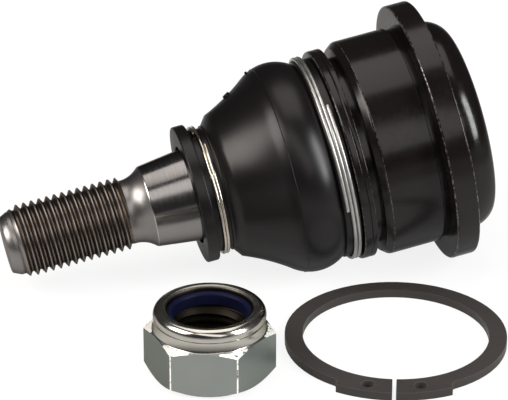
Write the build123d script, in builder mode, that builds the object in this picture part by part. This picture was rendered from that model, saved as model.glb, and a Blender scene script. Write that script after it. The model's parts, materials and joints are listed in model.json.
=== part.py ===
"""Press-in suspension ball joint with its lock nut and retaining circlip.

The joint lies on its side, stud to the left, on the rim of its flange and the
bulge of its dust boot. The nut and the circlip lie flat in front of it.

The origin is the centre of the ball. All round pieces of the joint are revolved
about one axis through it. A station is a distance along that axis from the ball
centre: positive towards the closed cap, negative towards the stud's thread.
"""
import os
from math import asin, atan2, cos, degrees, hypot, radians, sin, sqrt, tan

from build123d import *

os.makedirs("parts", exist_ok=True)

# ---- Clearances -------------------------------------------------------------
seat_gap = 0.03          # between still pieces that seat on each other
ball_gap = 0.04          # running fit of the ball in its plastic seats
boot_gap = 0.20          # boot lip to the turning stud
ring_gap = 0.10          # small wire ring to the boot's groove

# ---- Ball stud --------------------------------------------------------------
ball_diameter = 27.0
ball_flat = 10.6         # station of the flat under the ball
neck_diameter = 15.0
neck_fillet = 1.0
neck_end = -24.5         # the waist stops here and flares to the boot land
land_diameter = 18.6     # the boot's lip turns on this land
land_start = -29.8
taper_large_end = -32.6
taper_small_end = -44.0
taper_half_angle = 7.3
relief_diameter = 12.3   # plain neck between taper and thread
relief_start = -47.4
relief_sweep = 3.6       # radius of the curve from the relief up to the taper
thread_end = -48.8       # last thread, beside the relief
thread_run_out = 0.5
thread_diameter = 14.0
thread_pitch = 1.5
thread_depth = 0.92
thread_crest = 0.2       # flat on top of each turn
thread_root = 0.28       # flat at the bottom of each groove
stud_tip = -72.0
tip_diameter = 10.6
tip_chamfer = 3.6

# ---- Housing ----------------------------------------------------------------
seat_wall = 2.5          # thickness of the plastic seats at the ball's middle
swing_angle = 20.0       # how far the stud swings to any side
mouth_clearance = 4.4    # degrees left between the swung stud and the seat's edge
mouth_flare = 1.0        # how much the mouth widens to the nose's end
nose_end = -11.3
boot_seat_diameter = 35.2
nose_step = 0.5          # edge on the nose that holds the boot's bead
boot_seat_start = -10.6
shoulder_start = -7.2
shoulder_step = 0.5      # how far the shoulder stays inside the press diameter
shoulder_chamfer = 0.4
groove_start = -4.6
groove_depth = 2.75
press_diameter = 42.0
press_lead = 1.25        # length of the lead-in chamfer of the press fit
press_lead_depth = 1.0
undercut_depth = 0.45
undercut_width = 1.3
undercut_relief = 0.15   # how far the undercut also cuts into the flange's face
flange_face = 9.6
flange_thickness = 4.5
flange_diameter = 50.0
flange_chamfer = 0.35
cap_wall = 2.5           # wall of the cap round the closing plate
cap_straight = 2.7       # straight length of the cap behind the flange
cap_end = 19.75
cap_edge_radius = 2.1
cap_taper = 0.8          # how far the rolled edge leans in before it turns
rolled_lip_diameter = 29.0   # opening left by the edge rolled over the plate

# ---- Pieces under the ball --------------------------------------------------
pad_start = 2.6          # the lower bearing starts here, just past the middle
pad_split = 0.4          # gap between the two bearings
pad_flat = 13.6
pad_hole_diameter = 10.0
spring_thickness = 1.0
spring_hole_diameter = 14.0
spring_side_gap = 0.3
plate_seat = 15.4
plate_thickness = 2.6
plate_diameter = 36.0
plate_recess_diameter = 20.0
plate_recess_depth = 0.7

# ---- Dust boot and its rings ------------------------------------------------
boot_lip_start = -35.8
boot_lip_thickness = 2.3
boot_lip_diameter = 26.6
ring_groove_diameter = 23.7
ring_groove_end = -30.6
collar_diameter = 24.4
collar_end = -30.2
corner_station = -28.9   # sharp corner where the conical step meets the boot
corner_diameter = 27.8
bulge_station = -15.3    # centre of the bulge's arc
bulge_sink = 5.3         # how far that centre lies inside the boot's seat
bulge_radius = 8.2
bulge_flank_angle = 127.0
bulge_end_angle = 54.0
boot_wall = 1.6
bead_wall = 1.7
boot_flat_depth = 0.3    # the soft bulge flattens this much where it rests
clamp_wire = 0.76
clamp_station = -8.85
clamp_lean = 1.0         # degrees that its top leans towards the stud
clamp_overlap_start = 34.0   # where the wire's ends lie side by side, from the top
clamp_overlap = 62.0     # degrees
lip_ring_wire = 0.76
turn_overlap = 0.02      # neighbouring turns press together and count as one solid

# ---- Circlip ----------------------------------------------------------------
circlip_thickness = 1.6
circlip_groove_play = 0.15
circlip_stretch = 0.942  # free bore over the groove it springs into
circlip_width = 3.3
circlip_gap = 0.7
lug_height = 1.8         # how far the lugs stand out beyond the ring
lug_half_angle = 28.2
lug_fillet = 1.6
lug_corner = 0.15
plier_hole_diameter = 2.4
plier_hole_angle = 14.0

# ---- Lock nut ---------------------------------------------------------------
nut_flats = 21.0
nut_height = 13.3
nut_bore_diameter = 12.4
nut_countersink = 0.9
nut_face_diameter = 19.4     # flat ring that bears on the knuckle
nut_bottom_chamfer = 1.6
hex_top = 8.3                # height of the hexagon at its corners
corner_rise = 0.7            # height of the chamfer on the hexagon's corners
cone_diameter = 21.2         # the chamfer ends here and the cone begins
neck_height = 10.9
nut_neck_diameter = 19.9     # slight neck under the rolled collar
collar_start = 11.3
nut_collar_diameter = 20.5
rim_opening_diameter = 15.3
rim_thickness = 0.9      # of the edge rolled over the insert
rim_roll = 1.5           # radius of the rolled edge outside
insert_bore_diameter = 13.4
insert_diameter = 18.0
insert_height = 2.5

# ---- Layout of the loose pieces on the floor --------------------------------
nut_place = (-40.1, -39.2)
nut_turn = -18.5
circlip_place = (-4.3, -36.2)
circlip_turn = -16.5

# ---- The tilt at which the joint lies ---------------------------------------
# One straight line touches the flange's rim and the slightly flattened bulge.
ball_radius = ball_diameter / 2
rim_station = flange_face + flange_chamfer
rim_radius = flange_diameter / 2
bulge_centre_radius = boot_seat_diameter / 2 - bulge_sink
bulge_reach = rim_station - bulge_station
bulge_drop = rim_radius - bulge_centre_radius
bulge_distance = hypot(bulge_reach, bulge_drop)
resting_radius = bulge_radius - boot_flat_depth
tilt = degrees(atan2(bulge_drop, bulge_reach) - asin(resting_radius / bulge_distance))
floor_height = rim_station * sin(radians(tilt)) - rim_radius * cos(radians(tilt))

towards_cap = (cos(radians(tilt)), 0, sin(radians(tilt)))
section = Plane(origin=(0, 0, 0), x_dir=towards_cap, z_dir=(0, -1, 0))
joint_axis = Axis((0, 0, 0), towards_cap)
floor = Plane.XY.offset(floor_height)


def on_sphere(radius, angle):
    """Station and radius of a point on a sphere about the ball centre."""
    return (-radius * cos(radians(angle)), radius * sin(radians(angle)))


# ---- Derived sizes ----------------------------------------------------------
seat_radius = ball_radius + seat_wall
seat_inner = ball_radius + ball_gap
neck_angle = degrees(asin(neck_diameter / 2 / seat_inner))
mouth_angle = neck_angle + swing_angle + mouth_clearance
half_way = (mouth_angle + 90) / 2
taper_run = taper_large_end - taper_small_end
taper_small_radius = land_diameter / 2 - taper_run * tan(radians(taper_half_angle))
groove_width = circlip_thickness + circlip_groove_play
groove_end = groove_start + groove_width
nose_diameter = boot_seat_diameter + 2 * nose_step
boot_bead_diameter = boot_seat_diameter + 2 * bead_wall
shoulder_diameter = press_diameter - 2 * shoulder_step
groove_diameter = press_diameter - 2 * groove_depth
flange_back = flange_face + flange_thickness
cap_diameter = plate_diameter + 2 * cap_wall
cap_straight_end = flange_back + cap_straight
plate_back = plate_seat + plate_thickness

# ---- Ball stud --------------------------------------------------------------
# Waist, ball with a flat under it, land for the boot, taper and threaded end.
neck_radius = neck_diameter / 2
fillet_centre_radius = neck_radius + neck_fillet
fillet_centre = -sqrt((ball_radius + neck_fillet) ** 2 - fillet_centre_radius**2)
fillet_ratio = ball_radius / (ball_radius + neck_fillet)
ball_meets_fillet = (fillet_centre * fillet_ratio, fillet_centre_radius * fillet_ratio)
ball_flat_radius = sqrt(ball_radius**2 - ball_flat**2)
thread_radius = thread_diameter / 2
thread_start = stud_tip + tip_chamfer
thread_core = thread_radius - thread_depth
thread_flank = (thread_pitch - thread_crest - thread_root) / 2
relief_radius = relief_diameter / 2

# The thread's grooves at their real pitch and depth, as closed rings.
groove_outline = []
for turn in range(int((thread_end - thread_start) / thread_pitch)):
    left_crest = thread_start + thread_crest + turn * thread_pitch
    right_crest = left_crest + thread_pitch - thread_crest
    groove_outline.append((left_crest, thread_radius))
    groove_outline.append((left_crest + thread_flank, thread_core))
    groove_outline.append((right_crest - thread_flank, thread_core))
    groove_outline.append((right_crest, thread_radius))

with BuildPart() as ball_stud:
    with BuildSketch(section):
        with BuildLine():
            Polyline(
                (ball_flat, 0),
                (stud_tip, 0),
                (stud_tip, tip_diameter / 2),
                (thread_start, thread_radius),
                *groove_outline,
                (thread_end, thread_radius),
                (thread_end + thread_run_out, relief_radius),
                (relief_start, relief_radius),
            )
            RadiusArc(
                (relief_start, relief_radius),
                (taper_small_end, taper_small_radius),
                -relief_sweep,
            )
            Polyline(
                (taper_small_end, taper_small_radius),
                (taper_large_end, land_diameter / 2),
                (land_start, land_diameter / 2),
            )
            Spline(
                (land_start, land_diameter / 2),
                (neck_end, neck_radius),
                tangents=((1, -1), (1, 0)),
            )
            Line((neck_end, neck_radius), (fillet_centre, neck_radius))
            RadiusArc((fillet_centre, neck_radius), ball_meets_fillet, -neck_fillet)
            ThreePointArc(ball_meets_fillet, (0, ball_radius), (ball_flat, ball_flat_radius))
            Line((ball_flat, ball_flat_radius), (ball_flat, 0))
        make_face()
    revolve(axis=joint_axis)
ball_stud.part.label = "ball_stud"
export_step(ball_stud.part, "parts/ball_stud.step")

# ---- Housing ----------------------------------------------------------------
# Turned body with a ball seat inside, open at the nose and rolled over the
# closing plate at the cap.
seat_bore = seat_radius + seat_gap
mouth_edge = on_sphere(seat_bore, mouth_angle)
plate_bore = plate_diameter / 2 + seat_gap
lip_turn = (rolled_lip_diameter + cap_end - plate_back) / 2

with BuildPart() as housing:
    with BuildSketch(section):
        with BuildLine():
            Polyline(
                mouth_edge,
                (nose_end, mouth_edge[1] + mouth_flare),
                (nose_end, nose_diameter / 2),
                (boot_seat_start, nose_diameter / 2),
                (boot_seat_start, boot_seat_diameter / 2),
                (shoulder_start, boot_seat_diameter / 2),
                (shoulder_start, shoulder_diameter / 2 - shoulder_chamfer),
                (shoulder_start + shoulder_chamfer, shoulder_diameter / 2),
                (groove_start - shoulder_chamfer / 2, shoulder_diameter / 2),
                (groove_start, shoulder_diameter / 2 - shoulder_chamfer / 2),
                (groove_start, groove_diameter / 2),
                (groove_end, groove_diameter / 2),
                (groove_end, press_diameter / 2 - press_lead_depth),
                (groove_end + press_lead, press_diameter / 2),
                (flange_face - undercut_width, press_diameter / 2),
                (flange_face - undercut_width, press_diameter / 2 - undercut_depth),
                (flange_face + undercut_relief, press_diameter / 2 - undercut_depth),
                (flange_face, press_diameter / 2 + undercut_relief),
                (flange_face, rim_radius - flange_chamfer),
                (rim_station, rim_radius),
                (flange_back - flange_chamfer, rim_radius),
                (flange_back, rim_radius - flange_chamfer),
                (flange_back, cap_diameter / 2),
                (cap_straight_end, cap_diameter / 2),
                (cap_end - cap_edge_radius, cap_diameter / 2 - cap_taper),
            )
            RadiusArc(
                (cap_end - cap_edge_radius, cap_diameter / 2 - cap_taper),
                (cap_end, cap_diameter / 2 - cap_taper - cap_edge_radius),
                cap_edge_radius,
            )
            Line((cap_end, cap_diameter / 2 - cap_taper - cap_edge_radius), (cap_end, lip_turn))
            ThreePointArc(
                (cap_end, lip_turn),
                ((cap_end + plate_back) / 2, rolled_lip_diameter / 2),
                (plate_back, lip_turn),
            )
            Polyline(
                (plate_back, lip_turn),
                (plate_back, plate_bore),
                (plate_seat, plate_bore),
                (plate_seat, seat_bore),
                (0, seat_bore),
            )
            ThreePointArc((0, seat_bore), on_sphere(seat_bore, half_way), mouth_edge)
        make_face()
    revolve(axis=joint_axis)
housing.part.label = "housing"
export_step(housing.part, "parts/housing.step")

# ---- Upper bearing ----------------------------------------------------------
# Plastic seat between the ball and the housing, open towards the stud.
bearing_end = pad_start - pad_split
bearing_end_radius = sqrt(seat_inner**2 - bearing_end**2)
with BuildPart() as upper_bearing:
    with BuildSketch(section):
        with BuildLine():
            Line(on_sphere(seat_inner, mouth_angle), on_sphere(seat_radius, mouth_angle))
            RadiusArc(on_sphere(seat_radius, mouth_angle), (0, seat_radius), seat_radius)
            Polyline(
                (0, seat_radius),
                (bearing_end, seat_radius),
                (bearing_end, bearing_end_radius),
            )
            ThreePointArc(
                (bearing_end, bearing_end_radius),
                (0, seat_inner),
                on_sphere(seat_inner, mouth_angle),
            )
        make_face()
    revolve(axis=joint_axis)
upper_bearing.part.label = "upper_bearing"
export_step(upper_bearing.part, "parts/upper_bearing.step")

# ---- Pressure pad -----------------------------------------------------------
# Plastic cup under the ball, pushed against it by the disc spring.
pad_radius = seat_radius - seat_gap
pad_hole = pad_hole_diameter / 2
pad_mouth = sqrt(seat_inner**2 - pad_start**2)
cup_bottom = sqrt(seat_inner**2 - pad_hole**2)
with BuildPart() as pressure_pad:
    with BuildSketch(section):
        with BuildLine():
            Polyline(
                (cup_bottom, pad_hole),
                (pad_flat, pad_hole),
                (pad_flat, pad_radius),
                (pad_start, pad_radius),
                (pad_start, pad_mouth),
            )
            RadiusArc((pad_start, pad_mouth), (cup_bottom, pad_hole), seat_inner)
        make_face()
    revolve(axis=joint_axis)
pressure_pad.part.label = "pressure_pad"
export_step(pressure_pad.part, "parts/pressure_pad.step")

# ---- Preload spring ---------------------------------------------------------
# Disc spring: its inner edge bears on the pad, its outer edge on the plate.
spring_outer = seat_bore - spring_side_gap
spring_inner = spring_hole_diameter / 2
with BuildPart() as preload_spring:
    with BuildSketch(section):
        with BuildLine():
            Polyline(
                (pad_flat + seat_gap, spring_inner),
                (pad_flat + seat_gap + spring_thickness, spring_inner),
                (plate_seat - seat_gap, spring_outer),
                (plate_seat - seat_gap - spring_thickness, spring_outer),
                close=True,
            )
        make_face()
    revolve(axis=joint_axis)
preload_spring.part.label = "preload_spring"
export_step(preload_spring.part, "parts/preload_spring.step")

# ---- Closing plate ----------------------------------------------------------
# Steel disc under the rolled edge, with a shallow pressed recess.
recess = plate_recess_diameter / 2
with BuildPart() as closing_plate:
    with BuildSketch(section):
        with BuildLine():
            Polyline(
                (plate_seat, 0),
                (plate_seat, plate_diameter / 2),
                (plate_back - seat_gap, plate_diameter / 2),
                (plate_back - seat_gap, recess + plate_recess_depth),
                (plate_back - seat_gap - plate_recess_depth, recess),
                (plate_back - seat_gap - plate_recess_depth, 0),
                close=True,
            )
        make_face()
    revolve(axis=joint_axis)
closing_plate.part.label = "closing_plate"
export_step(closing_plate.part, "parts/closing_plate.step")

# ---- Dust boot --------------------------------------------------------------
# Thin rubber bellows: thick lip on the stud, sharp-cornered step, one bulge and
# a bead on the housing's nose. The bulge is flattened where the joint rests.
bulge_centre = (bulge_station, bulge_centre_radius)
inner_bulge = bulge_radius - boot_wall
lip_bore = land_diameter / 2 + boot_gap
bead_bore = boot_seat_diameter / 2 + seat_gap
nose_clear = nose_diameter / 2 + seat_gap
inner_end_angle = degrees(asin((nose_clear - bulge_centre_radius) / inner_bulge))
inner_corner = (corner_station + boot_wall, corner_diameter / 2 - boot_wall)
with BuildPart() as dust_boot:
    with BuildSketch(section):
        with BuildLine():
            outer_bulge = CenterArc(
                bulge_centre,
                bulge_radius,
                bulge_flank_angle,
                bulge_end_angle - bulge_flank_angle,
            )
            TangentArc(
                outer_bulge @ 0,
                (corner_station, corner_diameter / 2),
                tangent=(outer_bulge % 0) * -1,
            )
            Polyline(
                (corner_station, corner_diameter / 2),
                (collar_end, collar_diameter / 2),
                (ring_groove_end, collar_diameter / 2),
                (ring_groove_end, ring_groove_diameter / 2),
                (boot_lip_start + boot_lip_thickness, ring_groove_diameter / 2),
                (boot_lip_start + boot_lip_thickness, boot_lip_diameter / 2),
                (boot_lip_start, boot_lip_diameter / 2),
                (boot_lip_start, lip_bore),
                (land_start, lip_bore),
                inner_corner,
            )
            inner_arc = CenterArc(
                bulge_centre,
                inner_bulge,
                bulge_flank_angle,
                inner_end_angle - bulge_flank_angle,
            )
            TangentArc(
                inner_arc @ 0,
                inner_corner,
                tangent=(inner_arc % 0) * -1,
            )
            Polyline(
                inner_arc @ 1,
                (boot_seat_start + seat_gap, nose_clear),
                (boot_seat_start + seat_gap, bead_bore),
                (shoulder_start - seat_gap, bead_bore),
                (shoulder_start - seat_gap, boot_bead_diameter / 2),
                ((outer_bulge @ 1).X, boot_bead_diameter / 2),
                outer_bulge @ 1,
            )
        make_face()
    revolve(axis=joint_axis)
    split(bisect_by=floor, keep=Keep.TOP)
dust_boot.part.label = "dust_boot"
export_step(dust_boot.part, "parts/dust_boot.step")

# ---- Clamp ring of the boot -------------------------------------------------
# Spring wire wound closely round the boot's bead, a little out of square: two
# turns, and a third strand where the wire's ends run past each other.
clamp_pitch = clamp_wire - turn_overlap
clamp_radius = boot_bead_diameter / 2 + seat_gap + clamp_wire / 2
clamp_angle = radians(tilt + clamp_lean)
clamp_centre = section.from_local_coords((clamp_station, 0, 0))
clamp_axis = Axis(clamp_centre, (cos(clamp_angle), 0, sin(clamp_angle)))


def clamp_plane(turn):
    """Plane through the ring's axis, turned from the top towards the front."""
    across = Vector(0, -cos(radians(turn)), 0)
    upright = Vector(-sin(clamp_angle), 0, cos(clamp_angle)) * -sin(radians(turn))
    return Plane(origin=clamp_centre, x_dir=clamp_axis.direction, z_dir=across + upright)


with BuildPart() as boot_clamp_ring:
    with BuildSketch(clamp_plane(0)):
        with Locations((-clamp_pitch, clamp_radius), (0, clamp_radius)):
            Circle(clamp_wire / 2)
    revolve(axis=clamp_axis)
    with BuildSketch(clamp_plane(clamp_overlap_start)):
        with Locations((clamp_pitch, clamp_radius)):
            Circle(clamp_wire / 2)
    revolve(axis=clamp_axis, revolution_arc=clamp_overlap)
boot_clamp_ring.part.label = "boot_clamp_ring"
export_step(boot_clamp_ring.part, "parts/boot_clamp_ring.step")

# ---- Small ring on the boot's lip -------------------------------------------
# Two turns of wire in the groove behind the boot's lip.
lip_ring_spread = (lip_ring_wire - turn_overlap) / 2
lip_ring_radius = ring_groove_diameter / 2 + ring_gap + lip_ring_wire / 2
lip_groove_middle = (boot_lip_start + boot_lip_thickness + ring_groove_end) / 2
with BuildPart() as boot_lip_ring:
    with BuildSketch(section):
        for side in (-1, 1):
            with Locations((lip_groove_middle + side * lip_ring_spread, lip_ring_radius)):
                Circle(lip_ring_wire / 2)
    revolve(axis=joint_axis)
boot_lip_ring.part.label = "boot_lip_ring"
export_step(boot_lip_ring.part, "parts/boot_lip_ring.step")

# ---- Circlip ----------------------------------------------------------------
# Open ring with two eared ends and a plier hole in each.
circlip_inner = groove_diameter * circlip_stretch / 2
circlip_outer = circlip_inner + circlip_width
lug_outer = circlip_outer + lug_height
plier_reach = (circlip_inner + lug_outer) / 2
circlip_base = Plane(
    origin=(circlip_place[0], circlip_place[1], floor_height),
    x_dir=(cos(radians(circlip_turn)), sin(radians(circlip_turn)), 0),
)
with BuildPart() as circlip:
    with BuildSketch(circlip_base) as circlip_outline:
        Circle(circlip_outer)
        with BuildLine():
            lug_arc = CenterArc((0, 0), lug_outer, 270 - lug_half_angle, 2 * lug_half_angle)
            Polyline(lug_arc @ 1, (0, 0), lug_arc @ 0)
        make_face()
        lug_ends = circlip_outline.vertices().group_by(SortBy.DISTANCE)
        fillet(lug_ends[0], lug_fillet)
        fillet(circlip_outline.vertices().group_by(SortBy.DISTANCE)[-1], lug_corner)
        Circle(circlip_inner, mode=Mode.SUBTRACT)
        with Locations((0, -circlip_outer)):
            Rectangle(circlip_gap, 3 * circlip_width, mode=Mode.SUBTRACT)
        for side in (-1, 1):
            with PolarLocations(plier_reach, 1, 270 + side * plier_hole_angle):
                Circle(plier_hole_diameter / 2, mode=Mode.SUBTRACT)
    extrude(amount=circlip_thickness)
circlip.part.label = "circlip"
export_step(circlip.part, "parts/circlip.step")

# ---- Lock nut ---------------------------------------------------------------
# Hexagon with turned chamfers, and a collar rolled in over a plastic insert.
nut_corner = nut_flats / sqrt(3)
nut_bore = nut_bore_diameter / 2
nut_collar = nut_collar_diameter / 2
rim_opening = rim_opening_diameter / 2
rim_underside = nut_height - rim_thickness
insert_top = rim_underside - seat_gap
insert_bottom = insert_top - insert_height
pocket_radius = insert_diameter / 2 + seat_gap
pocket_floor = insert_bottom - seat_gap
nut_base = Plane(
    origin=(nut_place[0], nut_place[1], floor_height),
    x_dir=(cos(radians(nut_turn)), sin(radians(nut_turn)), 0),
)
nut_section = Plane(origin=nut_base.origin, x_dir=nut_base.x_dir, z_dir=nut_base.y_dir * -1)
nut_axis = Axis(nut_base.origin, (0, 0, 1))
with BuildPart() as nut_body:
    with BuildSketch(nut_base):
        RegularPolygon(nut_flats / 2, side_count=6, major_radius=False)
    extrude(amount=nut_height)
    with BuildSketch(nut_section):
        with BuildLine():
            Polyline(
                (nut_bore, nut_countersink),
                (nut_bore + nut_countersink, 0),
                (nut_face_diameter / 2, 0),
                (nut_corner, nut_bottom_chamfer),
                (nut_corner, hex_top),
                (cone_diameter / 2, hex_top + corner_rise),
                (nut_neck_diameter / 2, neck_height),
                (nut_collar, collar_start),
                (nut_collar, nut_height - rim_roll),
            )
            RadiusArc(
                (nut_collar, nut_height - rim_roll),
                (nut_collar - rim_roll, nut_height),
                -rim_roll,
            )
            RadiusArc(
                (nut_collar - rim_roll, nut_height),
                (rim_opening, rim_underside),
                -rim_thickness,
            )
            Polyline(
                (rim_opening, rim_underside),
                (pocket_radius, rim_underside),
                (pocket_radius, pocket_floor),
                (nut_bore + nut_countersink, pocket_floor),
                (nut_bore, pocket_floor - nut_countersink),
                (nut_bore, nut_countersink),
            )
        make_face()
    revolve(axis=nut_axis, mode=Mode.INTERSECT)
nut_body.part.label = "nut_body"
export_step(nut_body.part, "parts/nut_body.step")

# ---- Plastic insert of the nut ----------------------------------------------
with BuildPart() as nut_insert:
    with BuildSketch(nut_base.offset(insert_bottom)):
        Circle(insert_diameter / 2)
        Circle(insert_bore_diameter / 2, mode=Mode.SUBTRACT)
    extrude(amount=insert_height)
nut_insert.part.label = "nut_insert"
export_step(nut_insert.part, "parts/nut_insert.step")
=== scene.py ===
# %% [markdown]
# # A suspension ball joint, its lock nut and its circlip
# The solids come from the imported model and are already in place, in metres. The
# script loads them first, measures them, and then dresses each one: a finer mesh
# where light shows the edges, and a material made of nodes.

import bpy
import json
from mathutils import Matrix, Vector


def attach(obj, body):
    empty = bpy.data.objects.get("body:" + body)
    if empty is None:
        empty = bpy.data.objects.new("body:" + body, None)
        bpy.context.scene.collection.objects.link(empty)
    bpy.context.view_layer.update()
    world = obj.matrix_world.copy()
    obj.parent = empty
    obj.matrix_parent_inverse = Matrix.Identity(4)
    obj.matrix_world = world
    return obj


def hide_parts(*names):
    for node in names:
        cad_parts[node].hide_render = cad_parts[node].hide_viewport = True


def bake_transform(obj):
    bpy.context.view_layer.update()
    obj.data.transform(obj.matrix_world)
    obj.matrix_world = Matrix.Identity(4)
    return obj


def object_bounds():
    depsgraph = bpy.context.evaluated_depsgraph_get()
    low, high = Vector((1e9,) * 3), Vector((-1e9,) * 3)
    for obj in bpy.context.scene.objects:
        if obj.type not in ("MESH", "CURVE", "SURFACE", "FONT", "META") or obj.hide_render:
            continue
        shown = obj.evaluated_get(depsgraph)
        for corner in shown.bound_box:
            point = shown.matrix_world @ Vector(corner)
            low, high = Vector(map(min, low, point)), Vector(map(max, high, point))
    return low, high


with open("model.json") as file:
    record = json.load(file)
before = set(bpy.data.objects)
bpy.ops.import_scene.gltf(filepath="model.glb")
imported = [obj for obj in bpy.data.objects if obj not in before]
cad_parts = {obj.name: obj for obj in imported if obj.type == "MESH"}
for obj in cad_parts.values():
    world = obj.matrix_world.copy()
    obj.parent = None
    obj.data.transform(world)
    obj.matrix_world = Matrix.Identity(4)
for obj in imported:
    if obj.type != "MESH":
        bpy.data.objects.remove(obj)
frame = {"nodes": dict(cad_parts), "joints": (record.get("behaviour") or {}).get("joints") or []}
cad_low, cad_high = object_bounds()
print("solids", sorted(frame["nodes"]))
print("box in mm", [round(value * 1000, 1) for value in cad_high - cad_low])

# %% [markdown]
# ## Directions
# Everything round on the joint is turned about one slanted axis. The axis is read
# from the joint that turns about it, so it can't drift from the solids.

# %% Axis of the joint and the surface it lies on
import json
from collections import namedtuple
from math import atan2, ceil, cos, pi, radians, sin

import bmesh
import bpy
from mathutils import Matrix, Quaternion, Vector

MM = 0.001
swing = next(joint for joint in frame["joints"] if joint["name"] == "swing_direction")
AXIS = Vector(swing["axis"]).normalized()
FRONT = Vector((0, -1, 0))
UP = FRONT.cross(AXIS)
UPRIGHT = Vector((0, 0, 1))
TILT = atan2(AXIS.z, AXIS.x)
FLOOR = cad_low.z
print("tilt in degrees", round(TILT * 180 / pi, 2), "floor in mm", round(FLOOR / MM, 2))

# %% [markdown]
# ## A lathe
# A lathe here is a centre, an axis and the direction in which a radius is
# measured. A spot on it is given in millimetres, along the axis and out from it.

# %% Lathe of the joint
Lathe = namedtuple("Lathe", "centre axis out")
joint_lathe = Lathe(Vector((0, 0, 0)), AXIS, UP)


def spot(lathe, along, radius):
    return lathe.centre + (lathe.axis * along + lathe.out * radius) * MM


# %% [markdown]
# ## Turning a profile
# A lathe makes a part from its outline, and so does Spin. The outline is a chain of
# corners, each with the rounding that a vertex bevel gives it. An arc is drawn by
# spinning the chain's last vertex about the arc's centre.

# %% Outline with rounded corners and arcs
def outline(bm, lathe, path, closed=True):
    normal = lathe.axis.cross(lathe.out)
    roundings = []
    last = None
    first = None
    for step in path:
        if step[0] == "arc":
            made = bmesh.ops.spin(
                bm, geom=[last], cent=spot(lathe, step[1], step[2]), axis=normal,
                angle=radians(step[3]), steps=step[4],
            )
            last = made["geom_last"][0]
            rounding = step[5:]
        else:
            vert = bm.verts.new(spot(lathe, step[0], step[1]))
            if last:
                bm.edges.new((last, vert))
            first = first or vert
            last = vert
            rounding = step[2:]
        if rounding:
            roundings.append((last, rounding))
    if closed:
        bm.edges.new((last, first))
    for vert, rounding in roundings:
        bmesh.ops.bevel(
            bm, geom=[vert], offset=rounding[0] * MM, affect="VERTICES",
            segments=rounding[1] if len(rounding) > 1 else 3, profile=0.5, material=-1,
        )


def spin_round(bm, lathe, steps=192):
    bmesh.ops.spin(
        bm, geom=bm.verts[:] + bm.edges[:], cent=lathe.centre, axis=lathe.axis,
        angle=2 * pi, steps=steps, use_merge=True,
    )


# %% [markdown]
# ## From a bmesh to a finished piece
# Each new piece is built in a bmesh and becomes an object at the origin. Its faces
# are smooth, edges sharper than 35 degrees (25 on the nut) stay sharp, and a
# Weighted Normal modifier keeps wide flat faces flat beside their narrow roundings.

# %% Turn a bmesh into a piece
def piece(name, bm, body, node_name, sharp=35):
    bmesh.ops.remove_doubles(bm, verts=bm.verts, dist=1e-6)
    bmesh.ops.recalc_face_normals(bm, faces=bm.faces)
    open_edges = sum(1 for edge in bm.edges if not edge.is_manifold)
    mesh = bpy.data.meshes.new(name)
    bm.to_mesh(mesh)
    bm.free()
    mesh.shade_smooth()
    mesh.set_sharp_from_angle(angle=radians(sharp))
    obj = bpy.data.objects.new(name, mesh)
    bpy.context.collection.objects.link(obj)
    weights = obj.modifiers.new("flat_faces_stay_flat", "WEIGHTED_NORMAL")
    weights.keep_sharp = True
    weights.weight = 100
    if body:
        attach(obj, body)
    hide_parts(node_name)
    print(name, "faces", len(mesh.polygons), "open edges", open_edges)
    return obj


# %% [markdown]
# ## Housing
# The real housing is turned from steel bar, with a circlip groove, a lead-in
# chamfer, an undercut beside the flange and a cap whose edge is rolled over the
# closing plate. One profile holds all of it, and its small roundings catch the
# light as broken edges do.

# %% Housing
housing_path = [
    (-8.46, 13.63), (-11.3, 14.6, 0.25), (-11.3, 18.1, 0.25), (-10.6, 18.1, 0.15),
    (-10.6, 17.6), (-7.2, 17.6), (-7.2, 20.5, 0.45), (-5.75, 20.5, 0.12),
    (-5.62, 20.35, 0.08), (-5.5, 20.5, 0.12), (-4.6, 20.5, 0.2), (-4.6, 18.25),
    (-2.85, 18.25), (-2.85, 20.0, 0.12), (-1.6, 21.0, 0.35), (8.3, 21.0, 0.12),
    (8.3, 20.55, 0.1), (9.74, 20.55), (9.6, 21.15), (9.6, 25.0, 0.4),
    (14.1, 25.0, 0.4), (14.1, 20.5, 0.3), (15.7, 20.5, 0.7), (18.1, 19.75, 1.2, 5),
    (19.75, 17.9, 1.1, 5), (19.75, 15.4, 0.7, 4), (18.02, 14.5, 0.5), (18.02, 18.03),
    (15.4, 18.03), (15.4, 16.03), (0.0, 16.03), ("arc", 0, 0, 31.85, 14),
]
bm = bmesh.new()
outline(bm, joint_lathe, housing_path)
spin_round(bm, joint_lathe, steps=224)
housing = piece("housing_turned", bm, "joint_housing", "housing")

# %% [markdown]
# ## Closing plate
# A stamped disc under the rolled edge, with a shallow pressed recess. It is seen
# only from behind.

# %% Closing plate
plate_path = [
    (15.4, 0), (15.4, 18.0), (17.97, 18.0), (17.97, 10.7, 0.5), (17.27, 10.0, 0.5),
    (17.27, 0),
]
bm = bmesh.new()
outline(bm, joint_lathe, plate_path, closed=False)
spin_round(bm, joint_lathe, steps=160)
plate = piece("plate_pressed", bm, "joint_housing", "closing_plate")

# %% [markdown]
# ## Ball stud
# The stud is one forging: threaded end, relief, ground taper, a land for the boot,
# and inside the housing its waist and ball. The profile carries the thread's core.
# The ball is an arc about the lathe's centre, from the waist to the flat under it.

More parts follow.
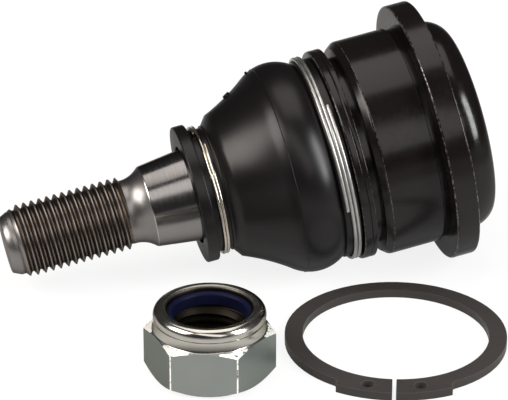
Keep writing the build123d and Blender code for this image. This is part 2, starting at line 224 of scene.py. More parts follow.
# %% Stud without its thread
TIP = -72.0
TIP_RADIUS = 5.3
TIP_SLOPE = 1.7 / 3.6
THREAD_CORE = 6.08
THREAD_PITCH = 1.5
waist_angle = 180 - 35.89
flat_angle = 38.26
stud_path = [
    (TIP, 0), (TIP, TIP_RADIUS, 0.25), (-70.35, THREAD_CORE), (-48.45, THREAD_CORE),
    (-48.3, 6.15, 0.1), (-46.3, 6.15, 1.4, 6), (-44.5, 7.4, 0.3), (-44.0, 7.84, 0.2),
    (-32.6, 9.3, 0.2), (-29.8, 9.3, 0.6), (-24.5, 7.5, 2.0, 6), (-11.2, 7.5, 0.4, 4),
    (-10.938, 7.914), ("arc", 0, 0, flat_angle - waist_angle, 40), (10.6, 0),
]
stud_bm = bmesh.new()
outline(stud_bm, joint_lathe, stud_path, closed=False)
spin_round(stud_bm, joint_lathe, steps=160)
print("stud without thread, faces", len(stud_bm.faces))

# %% [markdown]
# ## A thread
# A thread is a ridge wound along a screw line. Spin draws it when it is given a
# step along the axis. The ridge is a closed solid that sinks a little into the
# core. At its ends every point is kept inside the metal: pulled in under the stud's
# chamfer and run-out, or pushed out at the mouths of the nut's bore.

# %% Wind a ridge, then trim it
def wind(bm, lathe, corners, start, pitch, turns, steps_per_turn=96):
    steps = ceil(turns * steps_per_turn)
    ring = [bm.verts.new(spot(lathe, start + along, radius)) for along, radius in corners]
    face = bm.faces.new(ring)
    bmesh.ops.spin(
        bm, geom=[face, *face.edges, *ring], cent=lathe.centre, axis=lathe.axis,
        angle=turns * 2 * pi, steps=steps, dvec=lathe.axis * pitch * turns * MM / steps,
        use_merge=False,
    )


def trim(verts, lathe, limit):
    for vert in verts:
        along = (vert.co - lathe.centre).dot(lathe.axis)
        foot = lathe.centre + lathe.axis * along
        radius = (vert.co - foot).length
        wanted = limit(along / MM, radius / MM) * MM
        vert.co = foot + (vert.co - foot) * (wanted / radius)


def add_thread(bm, name, lathe, corners, limit, **winding):
    ridge_bm = bmesh.new()
    wind(ridge_bm, lathe, corners, pitch=THREAD_PITCH, **winding)
    trim(ridge_bm.verts, lathe, limit)
    mesh = bpy.data.meshes.new(name)
    ridge_bm.to_mesh(mesh)
    ridge_bm.free()
    bm.from_mesh(mesh)
    print(name, "turns", winding["turns"], "faces", len(mesh.polygons))


# %% Thread of the stud
RUN_OUT = -48.7
RUN_OUT_SLOPE = 1.6
THREAD_RADIUS = 7.0


def under_stud_ends(station, radius):
    chamfer = TIP_RADIUS + (station - TIP) * TIP_SLOPE - 0.01
    run_out = THREAD_RADIUS - (station - RUN_OUT) * RUN_OUT_SLOPE
    return max(min(radius, chamfer, run_out), 5.0)


stud_ridge = [(-0.66, 6.0), (-0.1, 6.97), (0.1, 6.97), (0.66, 6.0)]
add_thread(stud_bm, "stud_ridge", joint_lathe, stud_ridge, under_stud_ends, start=-71.0, turns=15.2)
stud = piece("stud_forged", stud_bm, "stud", "ball_stud")

# %% [markdown]
# ## Dust boot
# The boot is moulded rubber, thin over its bulge and thick at its lip. Its flank is
# one slightly hollow arc that runs into the bulge's arc. A fine ridge on the bulge
# is the seam where the mould closed. The inside is drawn as well, so the boot is a
# closed wall.

# %% Profile of the boot
SEAM = 111
BULGE = (-15.3, 12.3)


def on_bulge(radius, degrees):
    along, out = BULGE
    return (along + radius * cos(radians(degrees)), out + radius * sin(radians(degrees)))


boot_path = [
    (-35.8, 9.5, 0.2), (-35.8, 13.3, 0.3), (-33.5, 13.3, 0.3), (-33.5, 11.85, 0.15),
    (-30.6, 11.85, 0.1), (-30.6, 12.2, 0.12), (-30.2, 12.2, 0.12), (-28.9, 13.9),
    ("arc", -43.97, 50.35, 14.54, 10), ("arc", *BULGE, SEAM - 127, 6),
    on_bulge(8.28, SEAM - 0.5), on_bulge(8.2, SEAM - 1.0),
    ("arc", *BULGE, 55 - SEAM, 20),
    (-10.3, 19.3, 0.3), (-7.23, 19.3, 0.2), (-7.23, 17.63), (-10.57, 17.63),
    (-10.57, 18.13), (-11.9, 18.0), ("arc", *BULGE, 68, 18), (-27.3, 12.3),
    (-29.8, 9.5),
]
bm = bmesh.new()
outline(bm, joint_lathe, boot_path)
spin_round(bm, joint_lathe, steps=200)
print("boot profile steps", len(boot_path), "faces", len(bm.faces))

# %% [markdown]
# Where rubber was drawn into the mould's vents, small stubs are left. Two stand on
# the flank, each a short cone that leans with the surface.

# %% Mould pips
def pip(bm, along, radius, slope, turn, size):
    around = Matrix.Rotation(radians(turn), 4, AXIS)
    foot = Matrix.Translation(spot(joint_lathe, along, radius))
    lean = Matrix.Rotation(radians(slope), 4, FRONT)
    stand = UPRIGHT.rotation_difference(UP).to_matrix().to_4x4()
    bmesh.ops.create_cone(
        bm, cap_ends=True, segments=20, radius1=size * MM, radius2=size * 0.85 * MM,
        depth=0.7 * MM, matrix=around @ foot @ lean @ stand,
    )


pip(bm, along=-24.0, radius=16.4, slope=30, turn=-24, size=0.85)
pip(bm, along=-19.2, radius=19.5, slope=28, turn=-25, size=0.3)

# %% [markdown]
# The joint rests on the bulge, which gives a little. The points that would go through the floor are
# lifted onto it.

# %% Rest the boot on the floor
for vert in bm.verts:
    vert.co.z = max(vert.co.z, FLOOR)
boot = piece("boot_moulded", bm, None, "dust_boot")
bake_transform(boot)

# %% [markdown]
# ## Wire rings
# Each ring is spring wire wound about two turns, so its turns lie side by side and
# its two ends show. A circle, closed at both ends, is spun along a screw line, and
# the rim of each cut end gets a small bevel.

# %% Wind a wire
def wire_ring(lathe, wire, radius, pitch, turns, first_turn, start):
    bm = bmesh.new()
    out = Matrix.Rotation(radians(first_turn), 3, lathe.axis) @ lathe.out
    tangent = lathe.axis.cross(out)
    face_on = Matrix((lathe.axis, out, tangent * -1)).transposed().to_4x4()
    place = Matrix.Translation(lathe.centre + (lathe.axis * start + out * radius) * MM)
    bmesh.ops.create_circle(
        bm, cap_ends=True, segments=14, radius=wire / 2 * MM, matrix=place @ face_on,
    )
    steps = ceil(turns * 128)
    bmesh.ops.spin(
        bm, geom=bm.verts[:] + bm.edges[:] + bm.faces[:], cent=lathe.centre,
        axis=lathe.axis, angle=turns * 2 * pi, steps=steps,
        dvec=lathe.axis * -pitch * turns * MM / steps, use_merge=False,
    )
    ends = [edge for face in bm.faces if len(face.verts) > 4 for edge in face.edges]
    bmesh.ops.bevel(
        bm, geom=ends, offset=0.1 * MM, affect="EDGES", segments=2, profile=0.5,
        material=-1, clamp_overlap=True,
    )
    return bm


# %% Clamp ring on the bead
CLAMP_LEAN = radians(1.0)
lean = Matrix.Rotation(CLAMP_LEAN, 3, FRONT)
clamp_lathe = Lathe(spot(joint_lathe, -8.85, 0), lean @ AXIS, lean @ UP)
bm = wire_ring(
    clamp_lathe, wire=0.76, radius=19.71, pitch=0.78, turns=2.17, first_turn=34, start=0.845,
)
clamp = piece("clamp_wire", bm, "joint_housing", "boot_clamp_ring")

# %% Small ring behind the lip
bm = wire_ring(
    joint_lathe, wire=0.64, radius=12.27, pitch=0.6, turns=1.95, first_turn=18, start=-31.4,
)
lip_ring = piece("lip_wire", bm, "boot_lip", "boot_lip_ring")

# %% [markdown]
# ## Lock nut
# The nut is turned first, with its bore, its chamfered corners and the collar that is rolled in
# over the insert. Then six flats are cut with Bisect, which leaves the curved line where each flat
# meets the chamfer, just as on a real nut. Six narrow cuts take the sharp edge off the corners.
# They and the upper chamfer get a material slot of their own, which paints a near-white highlight
# on them, broken by dark nicks.

# %% Turned blank of the nut
NUT_TURN = radians(-18.5)
nut_out = Vector((cos(NUT_TURN), sin(NUT_TURN), 0))
nut_lathe = Lathe(Vector((-40.1 * MM, -39.2 * MM, FLOOR)), UPRIGHT, nut_out)
nut_path = [
    (0, 7.6, 0.1), (0, 9.7, 0.2), (1.909, 12.6), (8.085, 12.6), (9.14, 10.3, 0.2, 3),
    (10.9, 9.95, 0.25), (11.3, 10.25, 0.3, 4), (13.3, 10.25, 1.5, 8),
    (13.3, 7.65, 0.85, 6), (12.4, 7.65), (12.4, 9.03), (9.84, 9.03), (9.84, 7.6),
    (9.3, 7.02), (0.6, 7.02),
]
bm = bmesh.new()
outline(bm, nut_lathe, nut_path)
spin_round(bm, nut_lathe, steps=192)

# %% Six flats and their cut corners
NUT_FLAT = 10.5
NUT_CORNER = 12.04


def cut_flat(bm, turn, distance):
    """Cut the nut along one upright plane and return the faces that close the cut."""
    away = Matrix.Rotation(radians(turn), 3, "Z") @ nut_out
    cut = bmesh.ops.bisect_plane(
        bm, geom=bm.verts[:] + bm.edges[:] + bm.faces[:], dist=1e-7,
        plane_co=nut_lathe.centre + away * distance * MM, plane_no=away, clear_outer=True,
    )
    rim = [item for item in cut["geom_cut"] if isinstance(item, bmesh.types.BMEdge)]
    return bmesh.ops.holes_fill(bm, edges=rim, sides=0)["faces"]


for side in range(6):
    cut_flat(bm, 30 + 60 * side, NUT_FLAT)
# The corner cuts and the upper chamfer take slot 1, which paints a highlight on them.
worn = []
for side in range(6):
    worn += cut_flat(bm, 60 * side, NUT_CORNER)
# Sloping faces that look up and lie outside the collar are the upper chamfer.
chamfers = [
    face for face in bm.faces
    if (face.calc_center_median() - nut_lathe.centre).xy.length > 10.7 * MM
    and 0.5 < face.normal.z < 0.98
]
for face in worn + chamfers:
    face.material_index = 1
print("open edges after the cuts", sum(1 for edge in bm.edges if not edge.is_manifold))
print("worn corners", len(worn), "chamfer faces", len(chamfers))

# %% Thread inside the nut
BORE_MOUTH = 7.6
INSERT_SEAT = 9.84


def inside_nut_ends(height, radius):
    return max(radius, BORE_MOUTH - height, BORE_MOUTH - (INSERT_SEAT - height))


nut_ridge = [(-0.66, 7.05), (-0.19, 6.19), (0.19, 6.19), (0.66, 7.05)]
add_thread(
    bm, "nut_thread", nut_lathe, nut_ridge, inside_nut_ends,
    start=0.75, turns=5.6, steps_per_turn=72,
)
nut = piece("nut_formed", bm, "lock_nut", "nut_body", sharp=25)

# %% [markdown]
# ## Nylon insert
# A plain ring that sits in the collar. Its bore is smaller than the thread, so the
# bolt cuts its own grip. The upper edge is rounded.

# %% Insert
insert_path = [
    (9.87, 6.7, 0.3), (12.37, 6.7, 0.6, 5), (12.37, 9.0), (9.87, 9.0),
]
bm = bmesh.new()
outline(bm, nut_lathe, insert_path)
spin_round(bm, nut_lathe, steps=128)
insert = piece("insert_nylon", bm, "lock_nut", "nut_insert")

# %% [markdown]
# ## Circlip
# A circlip is punched from spring steel. Its outline is drawn flat, from arcs about
# its centre and straight corners, filled round the two plier holes, raised by
# Extrude and given a small bevel all round, as tumbling does after the punch.
# It is a loose part lying in front, and is left out of what shiny surfaces mirror,
# so that it draws no ring on the joint.

# %% Outline of the circlip
CLIP_TURN = radians(-16.5)
clip_right = Vector((cos(CLIP_TURN), sin(CLIP_TURN), 0))
clip_centre = Vector((-4.3 * MM, -36.2 * MM, FLOOR))
clip_table = Lathe(clip_centre, clip_right, UPRIGHT.cross(clip_right))
INNER = 17.19
OUTER = 20.49
LUG = 22.29
LUG_HALF = 28.2
GAP_HALF = 0.35


def round_about(radius, degrees):
    return (radius * cos(radians(degrees)), radius * sin(radians(degrees)))


gap_inner = atan2(GAP_HALF, INNER) * 180 / pi
gap_outer = atan2(GAP_HALF, LUG) * 180 / pi
clip_path = [
    (*round_about(LUG, 270 + gap_outer), 0.25),
    ("arc", 0, 0, LUG_HALF - gap_outer, 6, 0.15),
    (*round_about(OUTER, 270 + LUG_HALF), 1.6, 8),
    ("arc", 0, 0, 360 - 2 * LUG_HALF, 60, 1.6, 8),
    (*round_about(LUG, 270 - LUG_HALF), 0.15),
    ("arc", 0, 0, LUG_HALF - gap_outer, 6, 0.25),
    (*round_about(INNER, 270 - gap_inner), 0.25),
    ("arc", 0, 0, 2 * gap_inner - 360, 90, 0.25),
]
bm = bmesh.new()
outline(bm, clip_table, clip_path)
print("circlip outline edges", len(bm.edges))

# %% Plier holes, thickness and soft edges
CLIP_THICKNESS = 1.6
HOLE_RADIUS = 1.2
HOLE_TURN = 14
for side in (-1, 1):
    hole = round_about((INNER + LUG) / 2, 270 + HOLE_TURN * side)
    bmesh.ops.create_circle(
        bm, segments=36, radius=HOLE_RADIUS * MM,
        matrix=Matrix.Translation(spot(clip_table, *hole)),
    )
bmesh.ops.triangle_fill(bm, edges=bm.edges[:], use_beauty=True, normal=UPRIGHT)
raised = bmesh.ops.extrude_face_region(bm, geom=bm.faces[:])
top = [item for item in raised["geom"] if isinstance(item, bmesh.types.BMVert)]
bmesh.ops.translate(bm, verts=top, vec=UPRIGHT * CLIP_THICKNESS * MM)
bmesh.ops.recalc_face_normals(bm, faces=bm.faces)
rims = [edge for edge in bm.edges if edge.is_manifold and edge.calc_face_angle() > 1]
tumbled = bmesh.ops.bevel(
    bm, geom=rims, offset=0.11 * MM, affect="EDGES", segments=2, profile=0.5,
    material=-1, clamp_overlap=True,
)
for face in tumbled["faces"]:
    face.material_index = 1
circlip = piece("circlip_punched", bm, "retaining_ring", "circlip")
circlip.visible_glossy = False

# %% [markdown]
# ## Nodes for a finish
# Every finish starts as a Principled shader. The helpers below add a node, join two
# sockets, and give the coordinates that follow the lathe: for the joint and the nut,
# x runs along the axis. The last ones drive the shader's color or roughness from a
# factor, mix two colors, and put the finish on a piece.

# %% Small helpers for node materials
def finish(name, color, roughness, metallic=0.0):
    material = bpy.data.materials.new(name)
    material.use_nodes = True
    shader = material.node_tree.nodes["Principled BSDF"]
    shader.inputs["Base Color"].default_value = (*color, 1)
    shader.inputs["Roughness"].default_value = roughness
    shader.inputs["Metallic"].default_value = metallic
    return material, shader


def add(material, kind, **settings):
    node = material.node_tree.nodes.new("ShaderNode" + kind)
    for name, value in settings.items():
        setattr(node, name, value)
    return node


def join(material, output, target):
    material.node_tree.links.new(output, target)


def lathe_place(material, lathe):
    place = add(material, "TexCoord")
    turn = add(material, "Mapping", vector_type="TEXTURE")
    turn.inputs["Location"].default_value = lathe.centre
    turn.inputs["Rotation"].default_value = (0, -atan2(lathe.axis.z, lathe.axis.x), 0)
    join(material, place.outputs["Object"], turn.inputs["Vector"])
    return turn.outputs["Vector"]


def noise(material, place, scale, detail=3, roughness=0.5):
    texture = add(material, "TexNoise")
    texture.inputs["Scale"].default_value = scale
    texture.inputs["Detail"].default_value = detail
    texture.inputs["Roughness"].default_value = roughness
    join(material, place, texture.inputs["Vector"])
    return texture.outputs["Fac"]


def remap(material, value, low, high, from_low=0.3, from_high=0.7):
    scale = add(material, "MapRange")
    scale.inputs["From Min"].default_value = from_low
    scale.inputs["From Max"].default_value = from_high
    scale.inputs["To Min"].default_value = low
    scale.inputs["To Max"].default_value = high
    join(material, value, scale.inputs["Value"])
    return scale.outputs["Result"]


def blend_colors(material, factor, first, second):
    ramp = add(material, "ValToRGB")
    ramp.color_ramp.elements[0].color = (*first, 1)
    ramp.color_ramp.elements[1].color = (*second, 1)
    join(material, factor, ramp.inputs["Fac"])
    return ramp.outputs["Color"]


def sums(material, kind, first, second):
    node = add(material, "Math", operation=kind)
    for socket, value in zip(node.inputs, (first, second)):
        if isinstance(value, (int, float)):
            socket.default_value = value
        else:
            join(material, value, socket)
    return node.outputs["Value"]


def bumps(material, shader, height, strength, depth):
    bump = add(material, "Bump")
    bump.inputs["Strength"].default_value = strength
    bump.inputs["Distance"].default_value = depth * MM
    join(material, height, bump.inputs["Height"])
    join(material, bump.outputs["Normal"], shader.inputs["Normal"])


def tint(material, shader, factor, dark, light):
    join(material, blend_colors(material, factor, dark, light), shader.inputs["Base Color"])


def mixed(material, factor, first, second):
    mix = add(material, "Mix", data_type="RGBA")
    join(material, factor, mix.inputs["Factor"])
    for socket, value in ((mix.inputs["A"], first), (mix.inputs["B"], second)):
        if isinstance(value, tuple):
            socket.default_value = (*value, 1)
        else:
            join(material, value, socket)
    return mix.outputs["Result"]


def roughen(material, shader, factor, low, high, *spread):
    join(material, remap(material, factor, low, high, *spread), shader.inputs["Roughness"])


def put_on(obj, material):
    obj.data.materials.append(material)
    print(material.name, "nodes", len(material.node_tree.nodes))


# %% [markdown]
# A rough black surface loses its sheen when it is seen at a shallow angle, because
# its own small bumps shade it. The shader doesn't know that, so Layer Weight lowers
# the specular level towards the outline.

# %% Sheen that fades towards the outline
def fading_sheen(material, shader, level):
    angle = add(material, "LayerWeight")
    angle.inputs["Blend"].default_value = 0.5
    faded = remap(material, angle.outputs["Facing"], level, 0.02, 0.25, 0.75)
    join(material, faded, shader.inputs["Specular IOR Level"])


# %% [markdown]
# Turned and ground metal carries fine lines round its axis. They depend only on the
# place along the profile, so the two measures of that place, station and radius,
# are added and drive a noise with one dimension.

# %% Station, radius and lathe lines
def measures(material, place):
    split = add(material, "SeparateXYZ")
    join(material, place, split.inputs["Vector"])
    across = add(material, "CombineXYZ")
    join(material, split.outputs["Y"], across.inputs["Y"])
    join(material, split.outputs["Z"], across.inputs["Z"])
    length = add(material, "VectorMath", operation="LENGTH")
    join(material, across.outputs["Vector"], length.inputs["Vector"])
    return split.outputs["X"], length.outputs["Value"]


def lathe_lines(material, station, radius, scale, detail=4):
    texture = add(material, "TexNoise", noise_dimensions="1D")
    texture.inputs["Scale"].default_value = scale
    texture.inputs["Detail"].default_value = detail
    texture.inputs["Roughness"].default_value = 0.7
    join(material, sums(material, "ADD", station, radius), texture.inputs["W"])
    return texture.outputs["Fac"]


# A band near each listed profile point: worn coat on the housing, and a painted highlight on the
# stud's corner.
def edge_wear_and_glint(material, station, radius, edges):
    place = add(material, "CombineXYZ")
    join(material, station, place.inputs["X"])
    join(material, radius, place.inputs["Y"])
    worn = 0
    for along, out, half in edges:
        reach = add(material, "VectorMath", operation="DISTANCE")
        join(material, place.outputs["Vector"], reach.inputs[0])
        reach.inputs[1].default_value = (along * MM, out * MM, 0)
        near = remap(material, reach.outputs["Value"], 1, 0, half * MM * 0.5, half * MM)
        worn = sums(material, "MAXIMUM", near, worn)
    return worn


# %% [markdown]
# ## Black coat of the housing
# The housing is blackened steel: nearly black with a brown cast, satin, with a
# faint grain over the turning marks. The coat has worn through in dots along the
# rims of the flange and the edges of the press diameter, groove and shoulder.

# %% Housing and closing plate
def black_coat(name, lines, edges):
    material, shader = finish(name, (0.008, 0.0065, 0.006), 0.25)
    fading_sheen(material, shader, 0.26)
    place = lathe_place(material, joint_lathe)
    station, radius = measures(material, place)
    grain = noise(material, place, 900, detail=5, roughness=0.65)
    cloud = noise(material, place, 90, detail=3)
    turned = lathe_lines(material, station, radius, lines)
    dots = remap(material, noise(material, place, 1900, detail=2), 0, 1, 0.47, 0.58)
    worn = sums(material, "MULTIPLY", edge_wear_and_glint(material, station, radius, edges), dots)
    coat = blend_colors(material, cloud, (0.0034, 0.0026, 0.0026), (0.0068, 0.005, 0.0048))
    color = mixed(material, worn, coat, (0.13, 0.12, 0.11))
    join(material, color, shader.inputs["Base Color"])
    join(material, sums(material, "MULTIPLY", worn, 0.8), shader.inputs["Metallic"])
    roughen(material, shader, grain, 0.14, 0.24)
    height = sums(material, "ADD", grain, turned)
    bumps(material, shader, height, 0.2, 0.02)
    return material


housing_edges = [
    (9.72, 24.88, 0.22), (13.98, 24.88, 0.2), (8.3, 21.0, 0.1), (-1.5, 21.0, 0.1),
    (-4.65, 20.45, 0.1), (-7.1, 20.4, 0.14),
]
put_on(housing, black_coat("housing_coat", 1400, housing_edges))
put_on(plate, black_coat("plate_coat", 900, [(17.97, 10.7, 0.2)]))

# %% [markdown]
# ## Bare steel of the stud
# The taper is ground, so it is bright, with lines that run round it. The relief is turned and more
# matt. The thread is rolled and oiled. Its grooves get a dark brown colour that is partly oil and
# partly painted shade, while the crests, the chamfer and the end face keep the steel's colour. The
# radius tells groove from crest.

# %% Stud
stud_steel, shader = finish("stud_steel", (0.25, 0.24, 0.235), 0.2, metallic=1.0)
shader.inputs["Specular Tint"].default_value = (0.35, 0.34, 0.33, 1)
place = lathe_place(stud_steel, joint_lathe)
station, radius = measures(stud_steel, place)
ground = lathe_lines(stud_steel, station, radius, 2600, detail=5)
smudge = noise(stud_steel, place, 160, detail=4)
on_thread = remap(stud_steel, station, 1, 0, -48.6 * MM, -48.2 * MM)
crest = remap(stud_steel, radius, 0, 1, 6.7 * MM, 6.95 * MM)
cone = sums(stud_steel, "MULTIPLY_ADD", station, TIP_SLOPE)
cone.node.inputs[2].default_value = (TIP_RADIUS - TIP * TIP_SLOPE) * MM
above = sums(stud_steel, "SUBTRACT", radius, cone)
on_cone = remap(stud_steel, above, 0, 1, -0.3 * MM, -0.1 * MM)
end_face = remap(stud_steel, station, 1, 0, (TIP + 0.02) * MM, (TIP + 0.1) * MM)
bright = sums(stud_steel, "MAXIMUM", crest, sums(stud_steel, "MAXIMUM", on_cone, end_face))
# Dark brown in the thread's grooves is painted shade in the recess, with an oil tint.
groove = sums(stud_steel, "MULTIPLY", on_thread, sums(stud_steel, "SUBTRACT", 1, bright))
steel = blend_colors(stud_steel, smudge, (0.175, 0.168, 0.163), (0.245, 0.236, 0.232))
oil = noise(stud_steel, place, 2200, detail=2)
oil_and_groove_shade = blend_colors(stud_steel, oil, (0.07, 0.055, 0.045), (0.19, 0.155, 0.125))
# A lighter steel colour along the taper's corner is a painted highlight.
edge = edge_wear_and_glint(stud_steel, station, radius, [(-44.0, 7.84, 0.13)])
color = mixed(stud_steel, edge, mixed(stud_steel, groove, steel, oil_and_groove_shade), (0.38, 0.36, 0.35))
join(stud_steel, color, shader.inputs["Base Color"])
rough = remap(stud_steel, ground, 0.12, 0.24)
on_relief = remap(stud_steel, station, 1, 0, -44.2 * MM, -43.9 * MM)
rough = sums(stud_steel, "ADD", rough, sums(stud_steel, "MULTIPLY", on_relief, 0.17))
join(stud_steel, rough, shader.inputs["Roughness"])
bumps(stud_steel, shader, ground, 0.25, 0.012)
put_on(stud, stud_steel)

# %% [markdown]
# ## Rubber of the boot
# Moulded rubber is black and satin. It has a fine grain from the mould and soft
# patches where it has been handled.

# %% Boot
boot_rubber, shader = finish("boot_rubber", (0.01, 0.0095, 0.0095), 0.36)
fading_sheen(boot_rubber, shader, 0.25)
place = lathe_place(boot_rubber, joint_lathe)
fine = noise(boot_rubber, place, 1500, detail=4)
patch = noise(boot_rubber, place, 70, detail=3)
tint(boot_rubber, shader, patch, (0.0028, 0.0023, 0.0025), (0.0052, 0.0043, 0.0044))
roughen(boot_rubber, shader, patch, 0.26, 0.36)
bumps(boot_rubber, shader, fine, 0.15, 0.02)
put_on(boot, boot_rubber)

# %% [markdown]
# ## Drawn wire
# Drawn wire is bright with a faint grain. The clamp ring is matt silver and the small
# ring is brighter, smoother and a little yellow.

# %% Wire rings
def drawn_wire(name, dark, light, low, high, scale, grain):
    material, shader = finish(name, light, low, metallic=1.0)
    place = lathe_place(material, joint_lathe)
    streak = noise(material, place, scale, detail=4)
    tint(material, shader, streak, dark, light)
    roughen(material, shader, streak, low, high)
    bumps(material, shader, streak, grain, 0.02)
    return material


put_on(clamp, drawn_wire(
    "clamp_wire_steel", dark=(0.3, 0.3, 0.29), light=(0.46, 0.46, 0.44),
    low=0.32, high=0.44, scale=700, grain=0.2,
))
put_on(lip_ring, drawn_wire(
    "lip_wire_steel", dark=(0.42, 0.385, 0.325), light=(0.5, 0.46, 0.39),
    low=0.16, high=0.24, scale=200, grain=0.03,
))

# %% [markdown]
# ## Zinc plate, nylon and phosphated steel
# Zinc plate is bright and slightly mottled, with warm and cool patches. It is rougher on the
# hexagon's flats and in the bore. The collar is given a lighter, warmer colour than the flats,
# which is painted light that brightens its highlights, and the bore is coloured near black as
# painted shade. The corners and the upper chamfer carry a near-white painted highlight, broken by
# dark nicks. The insert is dark blue nylon. Phosphate leaves the circlip dark grey-brown and rather
# matt, with paler metal where its rims rub.

# %% Nut
zinc_plate, shader = finish("zinc_plate", (0.36, 0.38, 0.36), 0.24, metallic=1.0)
shader.inputs["Specular Tint"].default_value = (0.4, 0.4, 0.36, 1)
place = lathe_place(zinc_plate, nut_lathe)
mottle = noise(zinc_plate, place, 260, detail=4)
warm = noise(zinc_plate, place, 80, detail=2)
height, radius = measures(zinc_plate, place)
inside = remap(zinc_plate, radius, 1, 0, 7.8 * MM, 8.4 * MM)
collar = remap(zinc_plate, height, 0, 1, 8.9 * MM, 9.4 * MM)
plate_tone = blend_colors(zinc_plate, warm, (0.22, 0.255, 0.245), (0.275, 0.285, 0.262))
# The collar's lighter, warmer zinc is painted light that brightens its highlights. The flats keep
# the darker tone.
outside = mixed(zinc_plate, collar, plate_tone, (0.42, 0.41, 0.37))
# Near black in the bore is painted shade.
color = mixed(zinc_plate, inside, outside, (0.012, 0.01, 0.008))
join(zinc_plate, color, shader.inputs["Base Color"])
on_flats = remap(zinc_plate, radius, 0, 0.18, 10.3 * MM, 10.45 * MM)
rough = sums(zinc_plate, "ADD", on_flats, remap(zinc_plate, mottle, 0.13, 0.22))
rough = sums(zinc_plate, "ADD", rough, sums(zinc_plate, "MULTIPLY", inside, 0.3))
join(zinc_plate, rough, shader.inputs["Roughness"])
bumps(zinc_plate, shader, mottle, 0.25, 0.04)
put_on(nut, zinc_plate)

# %% Painted highlight on the nut's corners and chamfer
zinc_glint, shader = finish("zinc_painted_glint", (0.85, 0.85, 0.8), 0.2, metallic=0.3)
place = lathe_place(zinc_glint, nut_lathe)
nicks = remap(zinc_glint, noise(zinc_glint, place, 1500, detail=3), 0, 1, 0.36, 0.44)
# The near-white colour is a painted highlight, and dark nicks break it up.
tint(zinc_glint, shader, nicks, (0.12, 0.12, 0.11), (0.88, 0.88, 0.83))
roughen(zinc_glint, shader, nicks, 0.5, 0.2, 0, 1)
bumps(zinc_glint, shader, nicks, 0.2, 0.03)
put_on(nut, zinc_glint)

# %% Insert
blue_nylon, shader = finish("blue_nylon", (0.01, 0.014, 0.06), 0.3)
place = lathe_place(blue_nylon, nut_lathe)
milky = noise(blue_nylon, place, 300, detail=3)
tint(blue_nylon, shader, milky, (0.002, 0.0025, 0.011), (0.004, 0.005, 0.022))
roughen(blue_nylon, shader, milky, 0.4, 0.55)
shader.inputs["Specular IOR Level"].default_value = 0.08
bumps(blue_nylon, shader, milky, 0.1, 0.03)
put_on(insert, blue_nylon)

# %% Circlip
phosphate, shader = finish("phosphated_steel", (0.03, 0.026, 0.023), 0.4)
place = lathe_place(phosphate, clip_table)
crystals = noise(phosphate, place, 1600, detail=4)
tone = noise(phosphate, place, 120, detail=3)
tint(phosphate, shader, tone, (0.028, 0.025, 0.0235), (0.041, 0.0365, 0.034))
roughen(phosphate, shader, crystals, 0.4, 0.52)
shader.inputs["Specular IOR Level"].default_value = 0.2
bumps(phosphate, shader, crystals, 0.2, 0.02)
put_on(circlip, phosphate)

# %% Worn rims of the circlip
worn_rim, shader = finish("phosphate_worn_rim", (0.15, 0.14, 0.13), 0.35, metallic=0.5)
place = lathe_place(worn_rim, clip_table)
rubbed = noise(worn_rim, place, 350, detail=4)
tint(worn_rim, shader, rubbed, (0.035, 0.03, 0.028), (0.24, 0.22, 0.2))
roughen(worn_rim, shader, rubbed, 0.45, 0.3)
put_on(circlip, worn_rim)

# %% [markdown]
# ## Hidden solids
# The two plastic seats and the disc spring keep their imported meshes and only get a
# finish of their own.

# %% Plastic seats and disc spring
def seat_plastic(name, dark, light):
    material, shader = finish(name, light, 0.45)
    place = lathe_place(material, joint_lathe)
    flow = noise(material, place, 140, detail=4)
    tint(material, shader, flow, dark, light)
    roughen(material, shader, flow, 0.38, 0.52)
    bumps(material, shader, noise(material, place, 1200), 0.1, 0.02)
    return material


def dress(node_name, material):
    solid = frame["nodes"][node_name]
    solid.data.materials.clear()
    put_on(solid, material)


dress("upper_bearing", seat_plastic("upper_seat_plastic", (0.68, 0.65, 0.55), (0.8, 0.77, 0.68)))
dress("pressure_pad", seat_plastic("lower_seat_plastic", (0.64, 0.61, 0.52), (0.77, 0.74, 0.65)))
spring_steel, shader = finish("spring_steel", (0.2, 0.19, 0.18), 0.35, metallic=1.0)
place = lathe_place(spring_steel, joint_lathe)
temper = noise(spring_steel, place, 180, detail=4)
tint(spring_steel, shader, temper, (0.15, 0.14, 0.15), (0.25, 0.23, 0.2))
roughen(spring_steel, shader, temper, 0.28, 0.42)
dress("preload_spring", spring_steel)

# %% [markdown]
# ## Floor
# A part like this is laid on white paper to be pictured. The Light Path node tells
# the shader what asks for its colour. The camera is shown paper that is nearly full
# white everywhere and still takes the shadows. Rays that leave the parts meet a
# greyer sheet, which keeps more of the shadows and darkens further from 12.5 to 17 cm
# out, so that dark and shiny pieces don't mirror an endless white.

# %% Floor
bm = bmesh.new()
bmesh.ops.create_grid(bm, x_segments=1, y_segments=1, size=2.0)
bmesh.ops.translate(bm, verts=bm.verts, vec=(0, 0, FLOOR))
mesh = bpy.data.meshes.new("floor")
bm.to_mesh(mesh)
bm.free()
floor = bpy.data.objects.new("floor", mesh)
bpy.context.collection.objects.link(floor)
paper, shader = finish("floor_paper", (0.9, 0.9, 0.9), 0.9)
shader.inputs["Specular IOR Level"].default_value = 0.1
place = add(paper, "TexCoord").outputs["Object"]
POOL_CENTRE = (-0.01, 0.04, FLOOR)
POOL = (125 * MM, 170 * MM)
PAPER_NEAR = 0.62
PAPER_FAR = 0.26
PAPER_TO_CAMERA = 0.9
WHITE_TO_CAMERA = 0.86
WHITE_TO_MIRRORS = 0.3
reach = add(paper, "VectorMath", operation="DISTANCE")
join(paper, place, reach.inputs[0])
reach.inputs[1].default_value = POOL_CENTRE
distance = reach.outputs["Value"]
rays = add(paper, "LightPath")
camera_ray = rays.outputs["Is Camera Ray"]
unseen = remap(paper, camera_ray, 1, 0)
pool = sums(paper, "MULTIPLY", unseen, remap(paper, distance, 0, 1, *POOL))
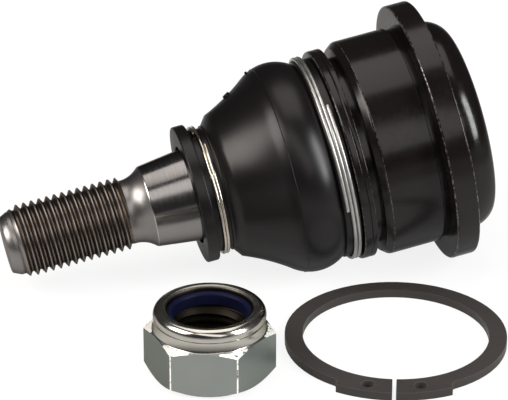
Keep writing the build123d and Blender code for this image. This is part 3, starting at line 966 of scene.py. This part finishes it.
tone = sums(paper, "MULTIPLY", unseen, remap(paper, distance, PAPER_NEAR, PAPER_FAR, *POOL))
tone = sums(paper, "ADD", tone, sums(paper, "MULTIPLY", camera_ray, PAPER_TO_CAMERA))
join(paper, tone, shader.inputs["Base Color"])
seen = sums(paper, "MULTIPLY", camera_ray, WHITE_TO_CAMERA)
mirrored = sums(paper, "ADD", rays.outputs["Is Glossy Ray"], rays.outputs["Is Transmission Ray"])
mirrored = sums(paper, "MULTIPLY", mirrored, WHITE_TO_MIRRORS)
glow = add(paper, "Emission")
join(paper, blend_colors(paper, pool, (1, 1, 1), (0.4, 0.4, 0.4)), glow.inputs["Color"])
lit = add(paper, "MixShader")
join(paper, sums(paper, "ADD", seen, mirrored), lit.inputs["Fac"])
join(paper, shader.outputs["BSDF"], lit.inputs[1])
join(paper, glow.outputs["Emission"], lit.inputs[2])
join(paper, lit.outputs["Shader"], paper.node_tree.nodes["Material Output"].inputs["Surface"])
put_on(floor, paper)

# %% [markdown]
# ## Light
# Shiny and black pieces show mostly what they mirror, so the lamps' shapes become
# the highlights' shapes. Four rectangles stand 70 cm away and face the joint: a
# broad one above, a long one in front that is rolled by 50 degrees, one on the left,
# and a narrow strong one on the right. The world fills the rest dimly.
#
# These lamps are stronger than a plain light. A matt grey card here renders at about
# 1.7 times its own colour, and the finishes above are written darker to suit. Under
# a plain light, the pieces look darker than they do here.

# %% Softboxes and world
LAMP_DISTANCE = 0.7


def softbox(name, side, rise, size, radiance, roll=0, hue=(1, 1, 1)):
    away = Vector((sin(side), -cos(side) * cos(rise), cos(side) * sin(rise)))
    data = bpy.data.lights.new(name, "AREA")
    data.shape = "RECTANGLE"
    data.size, data.size_y = size
    data.energy = radiance * pi * size[0] * size[1]
    data.color = hue
    lamp = bpy.data.objects.new(name, data)
    lamp.location = away * LAMP_DISTANCE
    facing = (away * -1).to_track_quat("-Z", "Y")
    lamp.rotation_euler = (facing @ Quaternion((0, 0, 1), roll)).to_euler()
    bpy.context.collection.objects.link(lamp)
    print(name, "watts", round(data.energy, 2))


softbox("top_box", 0, radians(102), (0.56, 0.58), 2.3, hue=(1, 0.95, 0.91))
softbox(
    "front_box", radians(-8), radians(41), (0.24, 0.74), 2.2,
    roll=radians(50), hue=(1, 0.96, 0.94),
)
softbox("left_box", radians(-53), radians(78), (0.44, 0.38), 10.0, hue=(1, 0.94, 0.89))
softbox("right_box", radians(40), radians(38), (0.17, 0.5), 22.0)
world = bpy.data.worlds.new("studio")
bpy.context.scene.world = world
world.use_nodes = True
sky = world.node_tree.nodes["Background"]
sky.inputs["Color"].default_value = (0.96, 0.98, 1.0, 1)
sky.inputs["Strength"].default_value = 0.06
bpy.context.scene.view_settings.view_transform = "Standard"

# %% [markdown]
# ## Camera
# A long lens from about 60 cm keeps the round forms nearly free of perspective. It
# looks down at the joint from the front and a little from the left.

# %% Camera
camera_data = bpy.data.cameras.new("camera")
camera_data.sensor_width = 36
camera_data.lens = 226.8
camera = bpy.data.objects.new("camera", camera_data)
camera.location = (-0.1505, -0.5346, 0.2608)
look = Vector((0.20903, 0.87304, -0.44059))
camera.rotation_euler = look.to_track_quat("-Z", "Y").to_euler()
bpy.context.collection.objects.link(camera)
bpy.context.scene.camera = camera
print("camera stands off in mm", round(camera.location.length / MM, 1))
